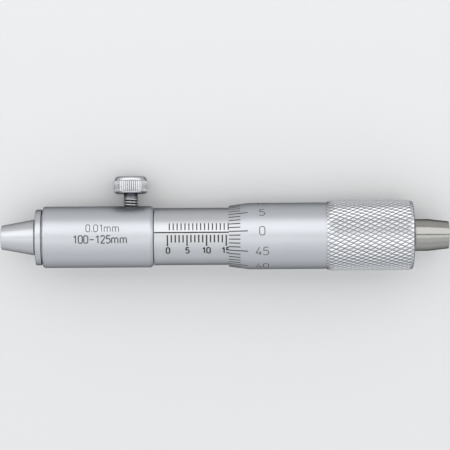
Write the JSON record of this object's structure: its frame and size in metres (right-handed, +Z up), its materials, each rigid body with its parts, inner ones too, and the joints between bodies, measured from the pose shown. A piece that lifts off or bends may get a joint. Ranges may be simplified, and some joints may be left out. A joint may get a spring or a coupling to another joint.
{
  "type": "inside micrometer",
  "caption": "Tubular inside micrometer: body with conical anvil, graduated sleeve, knurled thimble with a steel tip, and a thumb lock screw.",
  "frame": {"origin": "centre of the fixed measuring face, on the instrument's axis", "axes": "+X along the instrument's axis from the fixed to the moving measuring face, +Z up with the instrument lying on a table on its grip and the head of its lock screw, +Y towards the side of the lock screw"},
  "size_m": [0.1155, 0.0248, 0.0182],
  "materials": {
    "satin_chrome": "satin chrome plate on steel",
    "bright_chrome": "bright chrome plate on steel",
    "polished_steel": "hardened steel, ground and lapped",
    "inner_steel": "hardened steel, ground",
    "pad_brass": "plain turned brass"
  },
  "bodies": {
    "frame": {"main_body": "satin_chrome", "graduated_sleeve": "satin_chrome", "adjusting_nut": "inner_steel", "end_plug": "satin_chrome", "fixed_anvil": "satin_chrome"},
    "tip": {"moving_anvil": "polished_steel"},
    "thimble": {"thimble": "satin_chrome", "spindle": "inner_steel"},
    "pad": {"lock_pad": "pad_brass"},
    "lock": {"lock_screw": "bright_chrome"}
  },
  "joints": [
    {"name": "spindle_travel", "type": "slide", "parent": "frame", "child": "tip", "axis": [1, 0, 0], "range_m": [-0.0155, 0.0095]},
    {"name": "thimble_turn", "type": "hinge", "parent": "tip", "child": "thimble", "pos_m": [0.08, 0, 0], "axis": [1, 0, 0], "range_deg": [-11165, 6845]},
    {"name": "lock_travel", "type": "slide", "parent": "frame", "child": "pad", "axis": [0, 0.9393, -0.3432], "range_m": [-0.00017, 0.0014]},
    {"name": "lock_turn", "type": "hinge", "parent": "pad", "child": "lock", "pos_m": [0.0335, 0, 0], "axis": [0, 0.9393, -0.3432], "range_deg": [-91, 721]}
  ],
  "couplings": [
    {"joint": "thimble_turn", "follows": "spindle_travel", "rad_per_m": 12566},
    {"joint": "lock_turn", "follows": "lock_travel", "rad_per_m": 8976}
  ]
}
